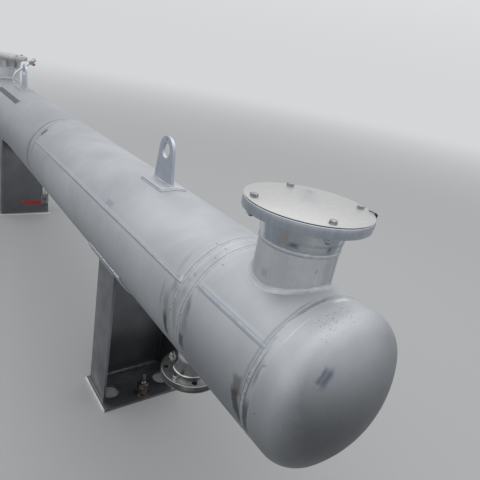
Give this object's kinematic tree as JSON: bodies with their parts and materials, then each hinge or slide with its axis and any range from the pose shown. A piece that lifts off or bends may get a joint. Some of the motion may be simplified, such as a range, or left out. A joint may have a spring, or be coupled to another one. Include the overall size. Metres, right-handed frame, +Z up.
{
  "type": "shell and tube heat exchanger",
  "caption": "Horizontal shell and tube heat exchanger: stainless shell with dished channel heads, flanged nozzles, vent and drain ball valves, lifting lugs and saddles.",
  "frame": {"origin": "on the ground, under the centre of the near saddle's base plate and of its two large holes", "axes": "+X along the vessel axis towards the near channel and its head, +Z up, the lever of the drain valve points to -Y"},
  "size_m": [4.5986, 0.4618, 1.2444],
  "materials": {
    "blasted_steel": "matte shot-blasted",
    "weld_steel": "ground weld",
    "band_steel": "blasted with heat tint",
    "machined_steel": "machined",
    "cover_steel": "bright brushed",
    "bolt_steel": "plain",
    "saddle_steel": "mill finish plate",
    "valve_steel": "polished casting",
    "red_grip": "dipped vinyl"
  },
  "bodies": {
    "vessel": {"near_head": "blasted_steel", "far_head": "blasted_steel", "head_welds": "weld_steel", "near_channel": "blasted_steel", "far_channel": "blasted_steel", "near_tubesheet": "band_steel", "far_tubesheet": "band_steel", "near_shell_course": "blasted_steel", "far_shell_course": "blasted_steel", "girth_band": "band_steel", "near_nozzle_neck": "blasted_steel", "near_nozzle_flange": "machined_steel", "near_nozzle_cover": "cover_steel", "near_cover_bolts": "bolt_steel", "far_nozzle_neck": "blasted_steel", "far_nozzle_flange": "machined_steel", "far_nozzle_cover": "cover_steel", "far_cover_bolts": "bolt_steel", "bottom_nozzle_neck": "blasted_steel", "bottom_nozzle_flange": "machined_steel", "bottom_blind_flange": "machined_steel", "bottom_flange_screws": "bolt_steel", "nozzle_welds": "weld_steel", "near_saddle_base": "saddle_steel", "near_saddle_web": "saddle_steel", "near_saddle_wrapper": "saddle_steel", "far_saddle_base": "saddle_steel", "far_saddle_web": "saddle_steel", "far_saddle_wrapper": "saddle_steel", "levelling_bolts": "bolt_steel", "near_lug_pad": "saddle_steel", "near_lug": "saddle_steel", "far_lug_pad": "saddle_steel", "far_lug": "saddle_steel", "vent_riser": "blasted_steel", "vent_run_pipe": "blasted_steel", "vent_valve_body": "valve_steel", "drain_pipe": "blasted_steel", "drain_valve_body": "valve_steel"},
    "vent_handle": {"vent_valve_stem": "valve_steel", "vent_lever": "valve_steel", "vent_grip": "red_grip"},
    "drain_handle": {"drain_valve_stem": "valve_steel", "drain_lever": "valve_steel", "drain_grip": "red_grip"}
  },
  "joints": [
    {"name": "vent_valve_turn", "type": "hinge", "parent": "vessel", "child": "vent_handle", "pos_m": [-2.792, 0.14129, 1.21249], "axis": [0, 0.6428, -0.766], "range_deg": [0, 90]},
    {"name": "drain_valve_turn", "type": "hinge", "parent": "vessel", "child": "drain_handle", "pos_m": [-1.718, 0, 0.345], "axis": [1, 0, 0], "range_deg": [0, 90]}
  ]
}
